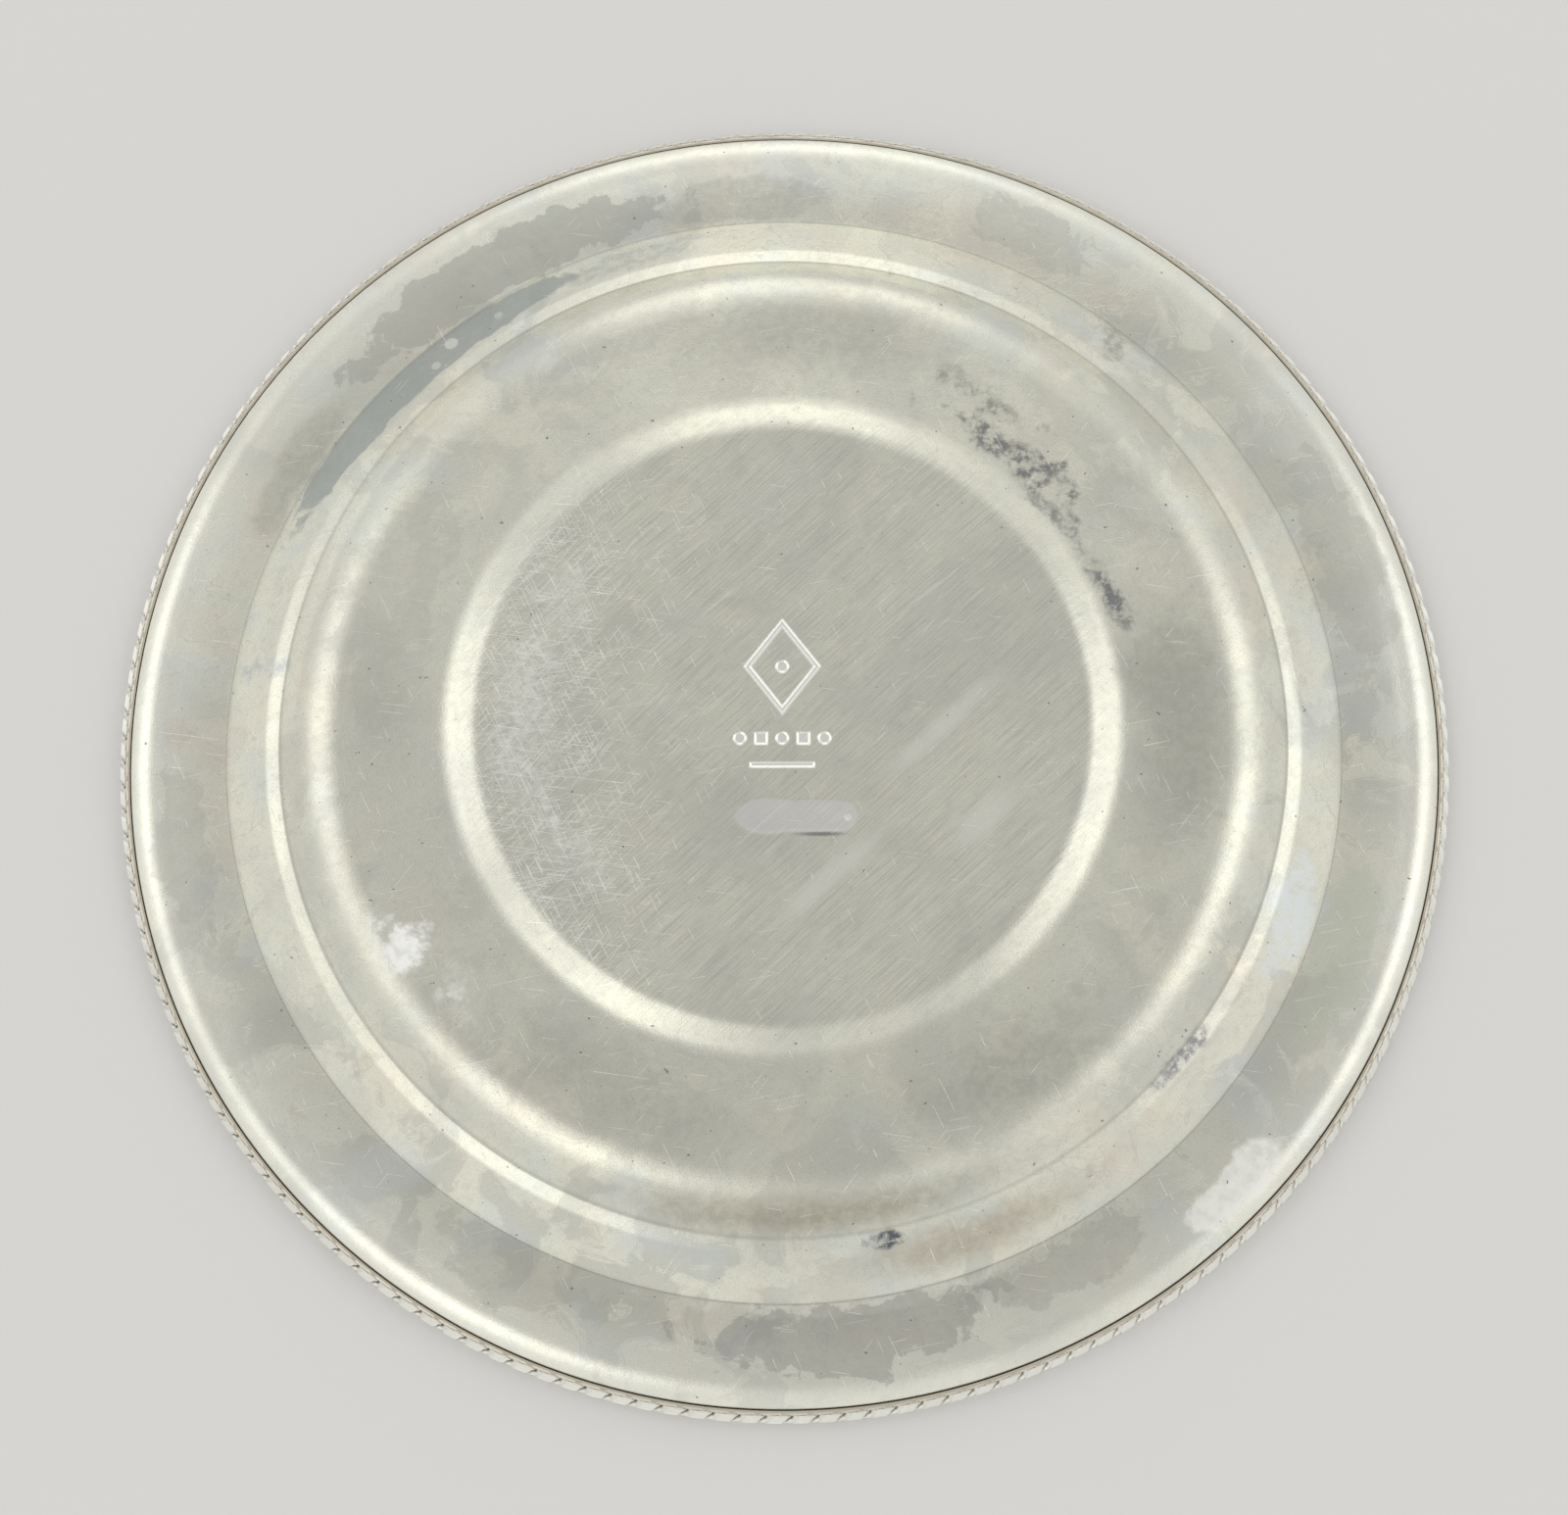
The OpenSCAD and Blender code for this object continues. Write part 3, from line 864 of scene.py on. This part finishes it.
def room_gradient(tree, look):
    """The room's brightness in the direction looked at, from its height alone."""
    parts = new_node(tree, "ShaderNodeSeparateXYZ")
    tree.links.new(look, parts.inputs[0])
    height = new_node(tree, "ShaderNodeMapRange")
    height.inputs["From Min"].default_value = -1.0
    tree.links.new(parts.outputs["Z"], height.inputs["Value"])
    ramp = new_node(tree, "ShaderNodeValToRGB")
    stops = ramp.color_ramp.elements
    while len(stops) < len(ROOM):
        stops.new(0.5)
    for stop, (at, level) in zip(stops, ROOM):
        stop.position = at
        stop.color = rgba(level, level, level)
    tree.links.new(height.outputs[0], ramp.inputs[0])
    return ramp.outputs["Color"]


def with_patch(tree, look, light, centre, radius, glow):
    """The light with a soft patch added round the direction of its centre."""
    dot = new_node(tree, "ShaderNodeVectorMath", operation="DOT_PRODUCT")
    tree.links.new(look, dot.inputs[0])
    dot.inputs[1].default_value = centre
    fall = new_node(tree, "ShaderNodeMapRange", interpolation_type="SMOOTHERSTEP")
    fall.inputs["From Min"].default_value = math.cos(math.radians(radius * PATCH_RIM))
    fall.inputs["From Max"].default_value = math.cos(math.radians(radius * PATCH_CORE))
    tree.links.new(dot.outputs["Value"], fall.inputs["Value"])
    add = new_node(tree, "ShaderNodeMix", data_type="RGBA", blend_type="ADD", clamp_result=False)
    tree.links.new(fall.outputs[0], add.inputs["Factor"])
    tree.links.new(light, add.inputs[6])
    add.inputs[7].default_value = glow
    return add.outputs[2]


def room_light():
    """The world: an even pale room with soft patches, the same on every render."""
    world = bpy.data.worlds.new("studio")
    world.use_nodes = True
    bpy.context.scene.world = world
    tree = world.node_tree
    look = new_node(tree, "ShaderNodeTexCoord").outputs["Generated"]
    light = room_gradient(tree, look)
    for patches, side in ((UNDER_PATCHES, -1), (OVER_PATCHES, 1)):
        for azimuth, tilt, radius, amount, colour in patches:
            a, t = math.radians(azimuth), math.radians(tilt)
            centre = (math.sin(t) * math.cos(a), math.sin(t) * math.sin(a), side * math.cos(t))
            glow = rgba(*(amount * part for part in colour))
            light = with_patch(tree, look, light, centre, radius, glow)
    tree.links.new(light, tree.nodes["Background"].inputs["Color"])


def studio():
    """A floor under the salver for views from above, one over it for views from below, and light."""
    lowest, highest = (corner[2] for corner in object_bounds())
    one_sided_floor("floor_above", highest + FLOOR_GAP, False)
    one_sided_floor("floor_below", lowest - FLOOR_GAP, True)
    room_light()


# ---------------------------------------------------------------- camera

CAMERA_TILT = math.radians(14.0)      # from the dish's axis
CAMERA_DISTANCE = 5.26 * BORDER_R * MM
NEAR_SIDE = Vector((-0.038, -0.999))  # the side of the salver that is nearest to the camera
AIM = Vector((-0.07, -1.02)) * MM     # where it looks in the rim's plane, from the axis
LENS = 80.26
SENSOR_W = 36


def camera():
    """The camera of the photo, below the salver and looking up at its underside."""
    rim_z = (BASE_Z + 0.3) * MM
    side = math.sin(CAMERA_TILT) * CAMERA_DISTANCE
    down = math.cos(CAMERA_TILT) * CAMERA_DISTANCE
    place = Vector((NEAR_SIDE.x * side, NEAR_SIDE.y * side, rim_z - down))
    forward = (Vector((AIM.x, AIM.y, rim_z)) - place).normalized()
    up = Vector((0, 1, 0))
    up = (up - forward * up.dot(forward)).normalized()
    right = forward.cross(up)
    data = bpy.data.cameras.new("camera")
    data.lens = LENS
    data.sensor_width = SENSOR_W
    data.clip_start = 0.01
    made = bpy.data.objects.new("camera", data)
    rows = [(right[k], up[k], -forward[k], place[k]) for k in range(3)]
    made.matrix_world = Matrix(rows + [(0, 0, 0, 1)])
    bpy.context.scene.collection.objects.link(made)
    bpy.context.scene.camera = made


# ---------------------------------------------------------------- the scene

bpy.context.scene.view_settings.view_transform = "Standard"

for piece, node, slot in (
        (build_dish(dish_material()), "dish", "dish_metal"),
        (build_border(border_material()), "rope_border", "border_metal"),
        (build_bead(solder_material()), "solder_bead", "solder")):
    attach(piece, "root")
    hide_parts(node)

studio()
camera()
